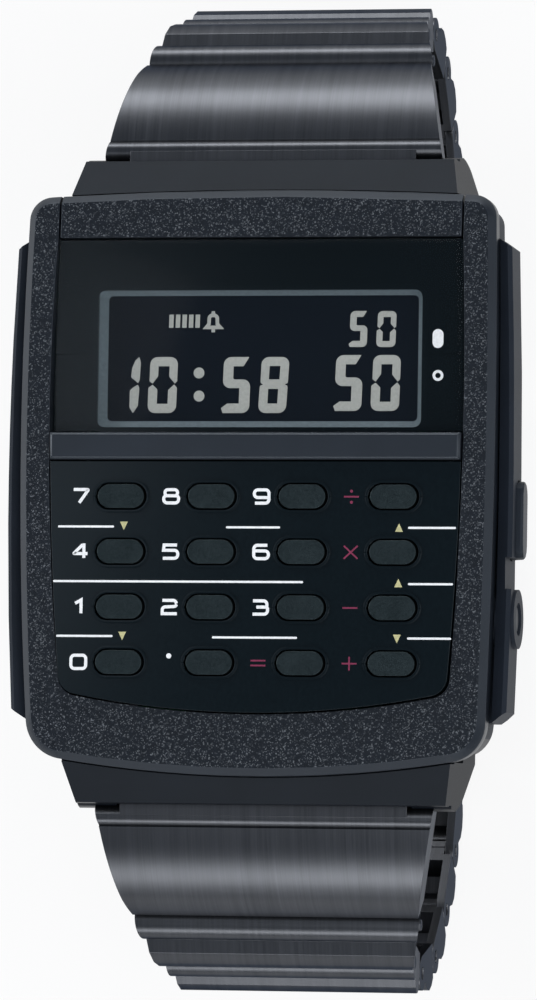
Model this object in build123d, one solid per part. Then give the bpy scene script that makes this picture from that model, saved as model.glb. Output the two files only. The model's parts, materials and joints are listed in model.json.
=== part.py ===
from build123d import *
from math import pi, cos, sin, sqrt, radians, degrees, asin
import os

os.makedirs("parts", exist_ok=True)

# Calculator watch on a folded-link bracelet that is closed by a three-part folding clasp.
# Lengths are millimetres, +Z points out of the face, +Y to 12 o'clock and +X to 3 o'clock.
# Pieces are modelled with the face plane of the case at height zero. Saving lifts them by
# face_height(), which follows from the bracelet, so that the clasp rests on the plane Z = 0.

# Fits and cuts that several pieces share
fit = 0.10
running_fit = 0.05
overrun = 3.0
hidden_sides = 8
end_flats = 6

# Bezel: a U open towards 12 o'clock, crowned along its length
bezel_half_top = 17.25
bezel_half = 17.5
bezel_half_low = 16.85
bezel_top = 21.08
bezel_top_drop = 0.53
bezel_bottom = 21.55
bezel_bottom_drop = 1.55
bezel_top_corner = 1.7
bezel_low_corner = 2.9
bezel_depth = 2.6
bezel_crown_radius = 222.0
bezel_bevel = 0.55

# Mouth of the bezel, which the crystal, the centre bar and the keypad panel fill
mouth_half_top = 15.0
mouth_half_mid = 15.3
mouth_half_low = 14.35
mouth_shoulder = 17.5
mouth_mid = 4.5
mouth_low = 15.6
mouth_bottom = 17.1
mouth_corner = 1.5

# Display: top plate, crystal, printed mask, recessed frame and liquid crystal panel
plate_gap = 0.15
crystal_top_y = 17.4
crystal_low_y = 3.45
crystal_depth = 1.10
crystal_bevel = 0.35
mask_depth = 0.40
mask_skirt = 0.70
window_half = 12.0
window_top_y = 13.75
window_low_y = 3.75
frame_depth = 0.90
frame_margin = 0.90
frame_inset = 0.50
panel_depth = 0.80

# Centre bar
bar_top_y = 3.30
bar_low_y = 1.30
bar_rise = 0.50
bar_depth = 1.20
bar_foot = 0.80
bar_bevel = 0.20

# Keypad panel and keys
keypad_top_y = 1.20
keypad_depth = 1.20
keypad_skirt = 0.70
keys_across = 4
column_pitch = 6.70
row_pitch = 4.02
keys_x = 0.23
keys_y = -7.39
hole_length = 3.80
hole_width = 1.98
key_length = 3.42
key_width = 1.74
key_rise = 0.22
flange_length = 4.50
flange_width = 2.50
flange_top = 1.45
flange_depth = 0.50
key_travel = 0.45
key_gap = 0.10

# Case body under the bezel
case_inset = 0.45
case_bottom = 7.7
cavity_half_width = 14.2
cavity_half_length = 17.3
cavity_corner = 3.5

# Bars along both sides of the case
bar_proud = 1.20
bar_slit = 0.12
bar_ridge_inset = 0.30
bar_inner_depth = 2.00
bar_ridge_depth = 1.60
bar_slope_depth = 1.90
bar_low_depth = 5.45
bar_foot_depth = 6.20
bar_foot_inset = 0.60
bar_bow_in = 0.45
bar_bow_down = 0.50
groove_depth = 3.60
bar_top_end = 17.65
bar_low_end = 17.50
bar_end_slope = 0.70
bar_end_width = 1.00
bar_outer = bezel_half + bar_proud

# Hoods over the bracelet ends, and the lugs under them
hood_start = 20.4
hood_end = 23.56
hood_half_start = 14.40
hood_half_end = 13.36
hood_flare = 8.0
hood_start_depth = 1.60
hood_end_depth = 3.80
hood_under = 4.55
lug_inner = 10.95
lug_radius = 1.20
lug_bottom = 7.30

# Spring bars
spring_y = 22.7
spring_depth = 6.0
spring_radius = 0.50
spring_reach = 12.4

# Side buttons
button_depth = 4.30
button_shaft = 0.60
button_shaft_inner = 14.45
button_pocket = 1.70
mode_y = -2.80
mode_length = 5.70
mode_height = 2.10
mode_proud = 0.51
adjust_y = -9.95
adjust_radius = 1.08
adjust_sunk = 0.06
collar_radius = 2.15
collar_proud = 0.10
button_gap = 0.12
button_travel = 0.60
clip_radius = 1.10
clip_depth = 0.30
seal_depth = 0.60
seal_radius = 1.00
notch_depth = 0.50
notch_half = 1.15
button_floor = bar_outer - button_pocket
mode_reach = bar_outer + mode_proud
adjust_reach = bar_outer - adjust_sunk
collar_reach = bar_outer + collar_proud

# Module inside the case
module_half_width = 12.9
module_half_length = 16.8
module_corner = 4.2
board_depth = 0.80
mat_top_y = 1.0
mat_low_y = -16.2
mat_depth = 0.50
dome_half = 0.60
dome_rise = 0.15
strip_half = 10.5
strip_width = 1.0
tray_depth = 2.60
battery_radius = 10.0
battery_depth = 1.60
battery_y = -3.0
clip_strap_width = 4.0
clip_strap_depth = 0.25
sounder_radius = 8.0
sounder_depth = 0.30
sounder_y = -2.0

# Back cover, gasket and screws
cover_half_width = 15.4
cover_half_length = 18.4
cover_depth = 0.80
cover_corner = 2.4
cover_bevel = 0.40
gasket_start = 0.15
gasket_width = 0.40
gasket_depth = 0.50
screw_x = 13.3
screw_y = 16.4
screw_shank = 0.45
screw_bore = 0.60
screw_length = 2.30
screw_head = 0.95
screw_sides = 12
screw_head_depth = 0.40

# Bracelet links
first_pitch = 11.125
link_pitch = 5.80
upper_headings = (35.1, 63, 83, 113, 140, 147, 150, 156, 166)
lower_headings = (32.6, 62, 82, 103, 128, 142, 158)
first_half = 12.8
second_half = 10.70
third_half = 9.40
band_half = 8.80
sheet = 0.60
side_gap = 0.10
pin_radius = 0.40
pin_inset = 0.10
knuckle_radius = 1.30
barrel_radius = 0.85
barrel_sides = 10
barrel_gap = 0.15
lip_height = 0.11
strap_top = 0.05
strap_low = 0.75
crown = 1.95
crown_shoulder_share = 0.22
crown_rise_share = 0.72
shoulder = 1.35
low_shoulder = 0.90
plate_start = 1.05
plate_stop = 1.40
bulkhead = 0.60
hollow_start = 1.50
hollow_shoulder = 0.35
ear_radius = 1.10

# First link: end tongue round the spring bar, rolled bead, and a taller crown
tongue_half = 10.67
tongue_radius = 1.10
bead_y = 2.30
bead_z = 0.15
bead_radius = 0.85
first_start = 2.30
first_shoulder = 2.25
first_crown = 2.75
first_wall_start = 1.95

# Link at the clasp's outer end, and the slotted one that meets its inner blade
strap_half_depth = 0.55
strap_half = 7.90
fork_inner = 4.60
fork_slot = 2.30

# Folding clasp, bent round one centre line over the middle of the case
clasp_radius = 60.0
clasp_flat = 0.25
cover_half = 9.0
clasp_sheet = 0.80
cover_wall_height = 3.40
cover_upper_end = 8.60
cover_lower_end = 18.70
blade_gap = 0.30
blade_half = 7.90
inner_blade_half = 4.20
eye_radius = 0.95
eye_pin = 0.45
middle_eye_half = 3.80
middle_eye_wall = 4.00
blade_hinge_y = 4.40
clasp_hinge_y = -17.3
hinge_slot_y = -15.6
adjust_hole = 0.45
adjust_hole_pitch = 2.60
adjust_holes = 3


def box_between(x0, x1, y0, y1, z0, z1):
    """Box from its two corners."""
    middle = Pos((x0 + x1) / 2, (y0 + y1) / 2, (z0 + z1) / 2)
    return middle * Box(abs(x1 - x0), abs(y1 - y0), abs(z1 - z0))


def prism(plan, z0, z1):
    """Plan outline drawn on XY, raised from z0 to z1."""
    return extrude(Pos(0, 0, z0) * plan, amount=z1 - z0)


def across(side, half):
    """Side view drawn on (Y, Z), spread over both halves of the width."""
    return extrude(Plane.YZ * side, amount=half, both=True)


def closed(*curves):
    """Face inside a closed chain of curves."""
    return make_face(Curve() + list(curves))


def rod(radius, x0, x1, y, z):
    """Round rod along X."""
    return extrude(Plane.YZ.offset(x0) * Pos(y, z) * Circle(radius), amount=x1 - x0)


def many_sided(radius):
    """Outline of a hidden pin or its hole, with flats that touch the radius."""
    return RegularPolygon(radius, hidden_sides, major_radius=False)


def turning(radius):
    """Size of a many-sided hole in which a many-sided pin of this size turns freely."""
    return radius / cos(pi / hidden_sides) + running_fit


def hidden_rod(radius, x0, x1, y, z):
    """Rod along X with flats that touch the radius, for pins and holes that never show."""
    return extrude(Plane.YZ.offset(x0) * Pos(y, z) * many_sided(radius), amount=x1 - x0)


def polygon(*points):
    """Straight-sided outline."""
    return make_face(Polyline(*points, close=True))


def bezel_plan(grow=0):
    """Outer outline of the bezel, with swelling sides and bowed ends, grown all round."""
    half = bezel_half + grow
    top_half = bezel_half_top + grow
    low_half = bezel_half_low + grow
    top_y = bezel_top - bezel_top_drop + grow
    low_y = -(bezel_bottom - bezel_bottom_drop) - grow
    right = ThreePointArc((low_half, low_y), (half, 0), (top_half, top_y))
    left = ThreePointArc((-top_half, top_y), (-half, 0), (-low_half, low_y))
    top = ThreePointArc((top_half, top_y), (0, bezel_top + grow), (-top_half, top_y))
    bottom = ThreePointArc((-low_half, low_y), (0, -bezel_bottom - grow), (low_half, low_y))
    plan = closed(right, top, left, bottom)
    plan = fillet(plan.vertices().sort_by(Axis.Y)[:2], bezel_low_corner + grow)
    return fillet(plan.vertices().sort_by(Axis.Y)[-2:], bezel_top_corner + grow)


def mouth_plan(inset=0):
    """Mouth of the bezel, run out past its top edge, or a piece inset from its sides."""
    far = bezel_top + overrun
    low_half = mouth_half_low - inset
    mid_half = mouth_half_mid - inset
    top_half = mouth_half_top - inset
    low_y = inset - mouth_low
    right = ThreePointArc((low_half, low_y), (mid_half, mouth_mid), (top_half, mouth_shoulder))
    left = ThreePointArc((-top_half, mouth_shoulder), (-mid_half, mouth_mid), (-low_half, low_y))
    head = Polyline((top_half, mouth_shoulder), (top_half, far), (-top_half, far),
                    (-top_half, mouth_shoulder))
    bottom = ThreePointArc((-low_half, low_y), (0, inset - mouth_bottom), (low_half, low_y))
    plan = closed(right, head, left, bottom)
    corners = plan.vertices().sort_by(Axis.Y)[:2]
    return fillet(corners, mouth_corner - inset / 2)


def crown_body():
    """Large cylinder whose skin is the crowned face of the case, along its length."""
    half = bezel_half + overrun
    return rod(bezel_crown_radius, -half, half, 0, -bezel_crown_radius)


def mouth_fill(y0, y1, inset=0):
    """Plan of a piece that fills the mouth between two heights up the case."""
    width = 2 * (mouth_half_mid + overrun)
    band = Pos(0, (y0 + y1) / 2) * Rectangle(width, y1 - y0)
    return mouth_plan(fit + inset) & band


def bezel():
    blank = prism(bezel_plan(), -bezel_depth, bezel_bevel) & crown_body()
    top = blank.faces().sort_by(Axis.Z)[-1]
    blank = chamfer(top.edges(), bezel_bevel)
    return blank - prism(mouth_plan(), -bezel_depth - overrun, overrun)


def top_plate():
    """Bare plate between the bezel's arms, above the crystal."""
    low = mouth_shoulder + plate_gap / 2
    half = mouth_half_top - plate_gap
    strip = Pos(0, low + bezel_half / 2) * Rectangle(2 * half, bezel_half)
    plan = bezel_plan() & strip
    blank = prism(plan, -bezel_depth, bezel_bevel) & crown_body()
    outer = blank.faces().sort_by(Axis.Z)[-1].edges().sort_by(Axis.Y)[-1:]
    return chamfer(outer, bezel_bevel)


def crystal():
    plan = mouth_fill(crystal_low_y, crystal_top_y)
    blank = prism(plan, -crystal_depth, 0)
    return chamfer(blank.faces().sort_by(Axis.Z)[-1].edges(), crystal_bevel)


def dial_mask():
    """Printed plate under the crystal, standing on a skirt round its edge."""
    plan = mouth_fill(crystal_low_y, crystal_top_y)
    window = Pos(0, (window_top_y + window_low_y) / 2) * Rectangle(
        2 * window_half, window_top_y - window_low_y)
    plate = prism(plan - window, -crystal_depth - mask_depth, -crystal_depth)
    skirt_half = mouth_half_top - mask_skirt
    inner = Pos(0, (crystal_low_y + crystal_top_y) / 2 - mask_skirt) * Rectangle(
        2 * skirt_half, crystal_top_y - crystal_low_y)
    skirt = prism(plan - inner, -bezel_depth, -crystal_depth - mask_depth)
    return plate + skirt


def display_frame():
    """Frame with sloping inner walls between the mask's window and the panel."""
    top = -crystal_depth - mask_depth
    low = top - frame_depth
    middle = (window_top_y + window_low_y) / 2
    width = 2 * window_half
    height = window_top_y - window_low_y
    left_over = window_low_y - crystal_low_y
    outer = box_between(-window_half - frame_margin, window_half + frame_margin,
                        window_low_y - left_over, window_top_y + frame_margin, low, top)
    wide = Pos(0, middle, top) * Rectangle(width, height)
    narrow = Pos(0, middle, low) * Rectangle(width - 2 * frame_inset, height - 2 * frame_inset)
    return outer - loft([narrow, wide])


def lcd_panel():
    top = -crystal_depth - mask_depth - frame_depth
    return box_between(-window_half - frame_margin / 2, window_half + frame_margin / 2,
                       crystal_low_y, window_top_y + frame_margin / 2, top - panel_depth, top)


def centre_bar():
    plan = mouth_fill(bar_low_y, bar_top_y)
    bar = prism(plan, -bar_depth, bar_rise)
    bar = chamfer(bar.faces().sort_by(Axis.Z)[-1].edges(), bar_bevel)
    inner = mouth_half_mid - bar_foot
    feet = prism(plan, -bezel_depth, -bar_depth) - box_between(
        -inner, inner, bar_low_y - overrun, bar_top_y + overrun, -bezel_depth - overrun, 0)
    return bar + feet


def key_places():
    """Centres of the sixteen keys, row by row from the display down."""
    middle = (keys_across - 1) / 2
    rows = [keys_y + row_pitch * (middle - row) for row in range(keys_across)]
    columns = [keys_x + column_pitch * (column - middle) for column in range(keys_across)]
    return [(x, y) for y in rows for x in columns]


def stadium(length, width):
    """Slot outline whose round ends are made of a few flats."""
    radius = width / 2
    middle = length / 2 - radius
    turns = [pi * step / end_flats - pi / 2 for step in range(end_flats + 1)]
    right = [(middle + radius * cos(turn), radius * sin(turn)) for turn in turns]
    left = [(-x, -y) for x, y in right]
    return polygon(*right, *left)


def keypad_panel():
    """Panel with sixteen key holes, on a skirt round three of its sides."""
    plan = mouth_fill(-mouth_bottom, keypad_top_y)
    panel = prism(plan, -keypad_depth, 0)
    skirt = plan - mouth_fill(-mouth_bottom, keypad_top_y + overrun, keypad_skirt)
    panel += prism(skirt, -bezel_depth, -keypad_depth)
    for x, y in key_places():
        hole = stadium(hole_length, hole_width)
        panel -= prism(Pos(x, y) * hole, -keypad_depth - overrun, overrun)
    return panel


def key(x, y):
    """One rubber key: a slot-shaped top on a flange that the panel holds in."""
    body = prism(stadium(key_length, key_width), -flange_top, key_rise)
    flange = box_between(-flange_length / 2, flange_length / 2, -flange_width / 2,
                         flange_width / 2, -flange_top - flange_depth, -flange_top)
    return Pos(x, y) * (body + flange)


def stack_levels():
    """Heights of the board and the tray, worked out down from the display panel."""
    strip_top = -crystal_depth - mask_depth - frame_depth - panel_depth
    board_top = strip_top - strip_depth()
    board_low = board_top - board_depth
    return strip_top, board_top, board_low


def strip_depth():
    """Height left for the contact strips once the mat clears a pressed key."""
    key_low = flange_top + flange_depth + key_travel + key_gap
    mat_low = key_low + dome_rise + mat_depth
    panel_low = crystal_depth + mask_depth + frame_depth + panel_depth
    return max(mat_low - panel_low, key_gap)


def key_mat():
    board_top = stack_levels()[1]
    length = mat_top_y - mat_low_y
    area = Pos(0, mat_top_y - length / 2) * Rectangle(2 * module_half_width, length)
    mat = prism(module_plan() & area, board_top, board_top + mat_depth)
    for x, y in key_places():
        base = board_top + mat_depth
        mat += prism(Pos(x, y) * Rectangle(2 * dome_half, 2 * dome_half), base, base + dome_rise)
    return mat


def contact_strips():
    strip_top, board_top, board_low = stack_levels()
    low = crystal_low_y + strip_width / 2
    high = window_top_y - strip_width
    return [box_between(-strip_half, strip_half, y, y + strip_width, board_top, strip_top)
            for y in (low, high)]


def module_plan():
    plan = Rectangle(2 * module_half_width, 2 * module_half_length)
    return chamfer(plan.vertices(), module_corner)


def circuit_board():
    strip_top, board_top, board_low = stack_levels()
    return prism(module_plan(), board_low, board_top)


def tray_low():
    return stack_levels()[2] - tray_depth


def module_frame():
    """Tray under the board, with the cell's pocket open towards the back cover."""
    board_low = stack_levels()[2]
    tray = prism(module_plan(), tray_low(), board_low)
    pocket = Pos(0, battery_y) * Circle(battery_radius + fit)
    return tray - prism(pocket, tray_low() - overrun, tray_low() + battery_depth)


def battery():
    """Coin cell in the tray's pocket."""
    return prism(Pos(0, battery_y) * Circle(battery_radius), tray_low(),
                 tray_low() + battery_depth)


def battery_clip():
    """Sprung strap across the cell, hooked on the tray at both ends."""
    reach = module_half_width
    low = tray_low() - clip_strap_depth
    return box_between(-reach, reach, battery_y - clip_strap_width / 2,
                       battery_y + clip_strap_width / 2, low, tray_low())


def sounder_disc():
    plan = Pos(0, sounder_y) * Circle(sounder_radius)
    return prism(plan, -case_bottom, -case_bottom + sounder_depth)


def cavity_plan():
    plan = Rectangle(2 * cavity_half_width, 2 * cavity_half_length)
    return chamfer(plan.vertices(), cavity_corner)


def gasket_plan():
    inner = offset(cavity_plan(), amount=gasket_start, kind=Kind.INTERSECTION)
    outer = offset(inner, amount=gasket_width, kind=Kind.INTERSECTION)
    return outer - inner


def back_gasket():
    return prism(gasket_plan(), -case_bottom, -case_bottom + gasket_depth)


def screw_places():
    return [(x, y) for x in (-screw_x, screw_x) for y in (-screw_y, screw_y)]


def screw_plan(radius):
    """Outline of a screw head or of its recess, with a few flats."""
    return RegularPolygon(radius, screw_sides, major_radius=False)


def back_cover():
    plan = Rectangle(2 * cover_half_width, 2 * cover_half_length)
    plan = chamfer(plan.vertices(), cover_corner)
    low = -case_bottom - cover_depth
    cover = prism(plan, low, -case_bottom)
    cover = chamfer(cover.faces().sort_by(Axis.Z)[0].edges(), cover_bevel)
    for x, y in screw_places():
        cover -= prism(Pos(x, y) * many_sided(screw_bore), low - overrun, overrun - case_bottom)
        cover -= prism(Pos(x, y) * screw_plan(screw_head + fit), low - overrun,
                       low + screw_head_depth)
    return cover


def back_screws():
    low = -case_bottom - cover_depth
    screws = []
    for x, y in screw_places():
        head = prism(screw_plan(screw_head), low, low + screw_head_depth)
        shank = prism(many_sided(screw_shank), low + screw_head_depth, -case_bottom + screw_length)
        screws.append(Pos(x, y) * (head + shank))
    return screws


def bowed(section, reach):
    """Section drawn on XZ, swept along Y on an arc that bends inward and down at both ends."""
    bow = sqrt(bar_bow_in ** 2 + bar_bow_down ** 2)
    radius = (reach ** 2 + bow ** 2) / (2 * bow)
    inward = -bar_bow_in / bow
    down = -bar_bow_down / bow
    centre = (bar_outer + radius * inward, 0, -bar_ridge_depth + radius * down)
    axis = Axis(centre, (down, 0, -inward))
    turn = degrees(asin(reach / radius))
    sweep = revolve(Plane.XZ * section, axis, 2 * turn)
    return sweep.rotate(axis, -turn)


def side_bar():
    """Bar on the 3 o'clock side: a ridged top, a steep outer face and sloping ends."""
    start = bezel_half_low - case_inset - bar_bow_in - bar_proud
    inner = bezel_half + bar_slit
    ridge = bar_outer - bar_ridge_inset
    section = polygon((start, -groove_depth), (inner, -groove_depth), (inner, -bar_inner_depth),
                      (ridge, -bar_ridge_depth), (bar_outer, -bar_slope_depth),
                      (bar_outer, -bar_low_depth), (bar_outer - bar_foot_inset, -bar_foot_depth),
                      (start, -bar_foot_depth))
    bar = bowed(section, bar_top_end + bar_end_slope)
    end = bar_outer - bar_bow_in
    near = end - bar_end_width
    far = end + bar_end_width
    plan = polygon((start, -bar_low_end), (near, -bar_low_end),
                   (far, -bar_low_end + 2 * bar_end_slope),
                   (far, bar_top_end - 2 * bar_end_slope), (near, bar_top_end),
                   (start, bar_top_end))
    return bar & prism(plan, -case_bottom, 0)


def hood():
    """Sloping hood at 12 o'clock and the two lugs under it."""
    side = polygon((hood_start, -hood_start_depth), (hood_end, -hood_end_depth),
                   (hood_end, -hood_under), (hood_start, -hood_under))
    root = hood_start - overrun / 2
    under = -spring_depth
    end_lug = Pos(spring_y, under) * Circle(lug_radius)
    web = polygon((root, -hood_under + fit), (hood_end - fit, -hood_under + fit),
                  (hood_end - fit, under), (spring_y, under - lug_radius), (root, -lug_bottom))
    lugs = across(web + end_lug, hood_half_start + overrun)
    lugs -= across(Rectangle(2 * (spring_y + overrun), 2 * case_bottom + overrun), lug_inner)
    low = -lug_bottom
    rise = (case_bottom - hood_start_depth) * sin(radians(hood_flare))
    start_half = hood_half_start + rise
    end_half = hood_half_end + rise
    per_length = (start_half - end_half) / (hood_end - hood_start)
    far = spring_y + lug_radius + fit
    plan = polygon((start_half, root), (start_half, hood_start),
                   (start_half - per_length * (far - hood_start), far),
                   (-start_half + per_length * (far - hood_start), far),
                   (-start_half, hood_start), (-start_half, root))
    limit = extrude(Pos(0, 0, low) * plan, amount=case_bottom, taper=hood_flare)
    return (across(side, hood_half_start + overrun) + lugs) & limit


def button_pockets():
    """Everything that the two side buttons need cut out of the case."""
    z = -button_depth
    inner = cavity_half_width - overrun
    cuts = hidden_rod(button_shaft + running_fit, inner, bar_outer, mode_y, z)
    cuts += hidden_rod(button_shaft + running_fit, inner, bar_outer, adjust_y, z)
    slot = Pos(mode_y, z) * stadium(mode_length + 2 * button_gap, mode_height + 2 * button_gap)
    cuts += extrude(Plane.YZ.offset(button_floor) * slot, amount=overrun)
    cuts += rod(adjust_radius + button_gap, button_floor, bar_outer + overrun, adjust_y, z)
    for y in (mode_y, adjust_y):
        cuts += hidden_rod(seal_radius, button_floor - seal_depth, button_floor + fit, y, z)
    return cuts


def notch():
    """Scoop in the side bar between the two buttons."""
    middle = (mode_y - mode_length / 2 + adjust_y + collar_radius) / 2
    return box_between(bar_outer - notch_depth, bar_outer + overrun, middle - notch_half,
                       middle + notch_half, -case_bottom, 0)


def case_body():
    body = prism(bezel_plan(-case_inset), -case_bottom, -bezel_depth)
    bar = side_bar()
    body += bar + mirror(bar, Plane.YZ)
    top_hood = hood()
    body += top_hood + mirror(top_hood, Plane.XZ)
    body -= notch()
    body += rod(collar_radius, button_floor, collar_reach, adjust_y, -button_depth)
    body -= prism(bezel_plan(fit), -bezel_depth, overrun)
    body -= prism(cavity_plan(), -case_bottom - overrun, overrun)
    body -= prism(gasket_plan(), -case_bottom - overrun, -case_bottom + gasket_depth)
    body -= button_pockets()
    for x, y in screw_places():
        body -= prism(Pos(x, y) * many_sided(screw_shank), -case_bottom - fit,
                      -case_bottom + screw_length)
    for y in (-spring_y, spring_y):
        body -= hidden_rod(spring_radius, -spring_reach, spring_reach, y, -spring_depth)
    return body


def button(y, head, reach):
    """Push button: head, shaft through the case wall and the clip that keeps it in."""
    z = -button_depth
    base = button_floor + button_travel + running_fit
    cap = extrude(Plane.YZ.offset(base) * Pos(y, z) * head, amount=reach - base)
    cap = chamfer(cap.faces().sort_by(Axis.X)[-1].edges(), button_gap)
    shaft = hidden_rod(button_shaft, button_shaft_inner - clip_depth * 2, base, y, z)
    clip_outer = cavity_half_width - running_fit
    clip = hidden_rod(clip_radius, clip_outer - clip_depth, clip_outer, y, z)
    return cap + shaft + clip


def mode_button():
    return button(mode_y, stadium(mode_length, mode_height), mode_reach)


def adjust_button():
    return button(adjust_y, Circle(adjust_radius), adjust_reach)


def button_seals():
    """Rubber rings round both shafts, seated in the case wall."""
    seals = []
    for y in (mode_y, adjust_y):
        start = button_floor - seal_depth
        ring = hidden_rod(seal_radius, start, start + seal_depth, y, -button_depth)
        bore = hidden_rod(button_shaft + running_fit, start - fit, button_floor + fit,
                          y, -button_depth)
        seals.append(ring - bore)
    return seals


def spring_bars():
    return [hidden_rod(spring_radius, -spring_reach, spring_reach, y, -spring_depth)
            for y in (spring_y, -spring_y)]


def chain(headings, side):
    """Pins of one half of the bracelet as (y, z), from its spring bar on."""
    y, z = spring_y, -spring_depth
    pins = [(side * y, z)]
    for number, heading in enumerate(headings):
        pitch = first_pitch if number == 0 else link_pitch
        y += pitch * cos(radians(heading))
        z -= pitch * sin(radians(heading))
        pins.append((side * y, z))
    return pins


def link_frame(pin, heading, side):
    """Plane of a link: x towards its far pin, y out of the loop, z across the band."""
    y, z = pin
    along = (0, side * cos(radians(heading)), -sin(radians(heading)))
    return Plane(origin=(0, y, z), x_dir=along, z_dir=(side, 0, 0))


def wide(profile, half):
    """Link profile spread across the band."""
    return extrude(profile, amount=half, both=True)


def tall(plan):
    """Link plan, drawn along and across the band, spread through its thickness."""
    return extrude(Plane.XZ * plan, amount=first_half, both=True)


def plate_arc(x0, x1, y0, y1, top):
    return ThreePointArc((x0, y0), ((x0 + x1) / 2, top), (x1, y1))


def taper_plan(start, stop, near, far):
    """Plan that narrows evenly between two places along the link."""
    return polygon((start, -near), (stop, -far), (stop, far), (start, near))


def link_hollow(start, stop, low, near, far):
    """Room under the plate between the walls, as far as the bulkhead at the far end."""
    deep = -knuckle_radius - overrun
    end = stop - bulkhead
    side = polygon((0, low), (start, hollow_shoulder), ((start + end) / 2, crown - sheet),
                   (end, shoulder - sheet), (end, deep), (0, deep))
    return wide(side, first_half) & tall(taper_plan(0, end, near - sheet, far - sheet))


def knuckle_room(half):
    """Room for the barrel of the link before, and for the strap that carries it."""
    tunnel = many_sided(barrel_radius + barrel_gap)
    width = knuckle_radius + overrun
    way = polygon((-width, lip_height), (0, lip_height), (0, -width), (-width, -width))
    return wide(tunnel + way, half)


def far_hinge(stop, pitch, far):
    """Strap, barrel and pin ends that the next link turns on."""
    strap = polygon((stop - fit, -strap_top), (pitch, -strap_top), (pitch, -strap_low),
                    (stop - fit, -strap_low))
    barrel = wide(strap + Pos(pitch, 0) * RegularPolygon(barrel_radius, barrel_sides),
                  far - sheet - side_gap)
    return barrel + wide(Pos(pitch, 0) * many_sided(pin_radius), far - pin_inset)


def near_hinge(profile, near, far, stop):
    """Full-width body round the near pin, opened for the barrel and drilled for the pin."""
    body = wide(profile, first_half) & tall(taper_plan(-knuckle_radius, stop, near, far))
    body -= link_hollow(hollow_start, stop, 0, near, far)
    body -= knuckle_room(near - sheet)
    return body - wide(many_sided(turning(pin_radius)), first_half)


def crowned(stop):
    """Side view of a link: bead over the pin, crowned plate and straight lower edge."""
    bead_x = sqrt(knuckle_radius ** 2 - low_shoulder ** 2)
    slant = knuckle_radius * cos(pi / 4)
    bead = ThreePointArc((bead_x, low_shoulder), (-slant, slant), (-knuckle_radius, 0))
    under = Polyline((-knuckle_radius, 0), (-slant, -slant), (0, -knuckle_radius),
                     (stop, -knuckle_radius), (stop, shoulder))
    top = Polyline((stop, shoulder), *crown_points(plate_start, stop), (plate_start, low_shoulder),
                   (bead_x, low_shoulder))
    return closed(bead, under, top)


def crown_points(start, stop):
    """Points over a plate's crown, from its far edge back to its near one."""
    length = stop - start
    near = start + length * crown_shoulder_share
    far = stop - length * crown_shoulder_share
    high = shoulder + (crown - shoulder) * crown_rise_share
    low = low_shoulder + (crown - low_shoulder) * crown_rise_share
    return [(far, high), ((start + stop) / 2, crown), (near, low)]


def first_link(heading):
    """Long link: tongue round the spring bar, bead across its near edge, tall crown."""
    turn = radians(heading)
    bead_x = bead_y * cos(turn) - bead_z * sin(turn)
    bead_h = bead_y * sin(turn) + bead_z * cos(turn)
    stop = first_pitch - plate_stop
    profile = closed(plate_arc(first_start, stop, first_shoulder, shoulder, first_crown),
                     Polyline((stop, shoulder), (stop, -knuckle_radius),
                              (first_wall_start, -knuckle_radius), (first_wall_start, bead_h),
                              (first_start, first_shoulder)))
    profile += Pos(bead_x, bead_h) * Circle(bead_radius)
    body = wide(profile, first_half) & tall(taper_plan(0, stop, first_half, second_half))
    start = first_start + bead_radius
    end = stop - bulkhead
    room = closed(plate_arc(start, end, first_shoulder - sheet, shoulder - sheet,
                            first_crown - sheet),
                  Polyline((end, shoulder - sheet), (end, -knuckle_radius - overrun),
                           (start, -knuckle_radius - overrun), (start, first_shoulder - sheet)))
    plan = taper_plan(0, end, first_half - sheet, second_half - sheet)
    body -= wide(room, first_half) & tall(plan)
    strap = Rot(0, 0, heading) * Pos(bead_y / 2, tongue_radius - sheet / 2) * Rectangle(bead_y, sheet)
    body += wide(strap + Circle(tongue_radius), tongue_half)
    body += far_hinge(stop, first_pitch, second_half)
    return body - wide(many_sided(turning(spring_radius)), first_half)


def plain_link(near, far):
    stop = link_pitch - plate_stop
    body = near_hinge(crowned(stop), near, far, stop)
    return body + far_hinge(stop, link_pitch, far)


def eared_link():
    """Link before the strap: ears at its far end hold the pin that the strap turns on."""
    stop = link_pitch - plate_stop
    body = near_hinge(crowned(stop), band_half, band_half, stop)
    ear = Pos(link_pitch, 0) * Circle(ear_radius)
    ear += Pos(link_pitch - plate_stop / 2 - fit, 0) * Rectangle(plate_stop + fit, 2 * ear_radius)
    ears = wide(ear, band_half) - wide(Pos(link_pitch, 0) * Rectangle(
        2 * plate_stop, 2 * knuckle_radius), band_half - sheet)
    return body + ears + wide(Pos(link_pitch, 0) * many_sided(pin_radius), band_half - pin_inset)


def strap_link():
    """Flat tongue that joins the last full link to the clasp cover."""
    profile = RegularPolygon(barrel_radius, barrel_sides)
    profile += Pos(link_pitch, 0) * Circle(barrel_radius)
    profile += Pos(link_pitch / 2, 0) * Rectangle(link_pitch, 2 * strap_half_depth)
    body = wide(profile, strap_half)
    body -= wide(many_sided(turning(pin_radius)), first_half)
    return body - wide(Pos(link_pitch, 0) * many_sided(turning(eye_pin)), first_half)


def fork_link():
    """Last link on the 6 o'clock side, slotted for the eye of the clasp's inner blade."""
    stop = link_pitch - plate_stop
    body = near_hinge(crowned(stop), band_half, band_half, stop)
    knuckle = Pos(link_pitch, 0) * Circle(ear_radius)
    knuckle += Pos(link_pitch - plate_stop / 2 - fit, 0) * Rectangle(plate_stop + fit,
                                                                    2 * ear_radius)
    body += wide(knuckle, band_half)
    return body - wide(Pos(link_pitch, 0) * Rectangle(2 * fork_slot, 2 * crown + overrun),
                       fork_inner)


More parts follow.
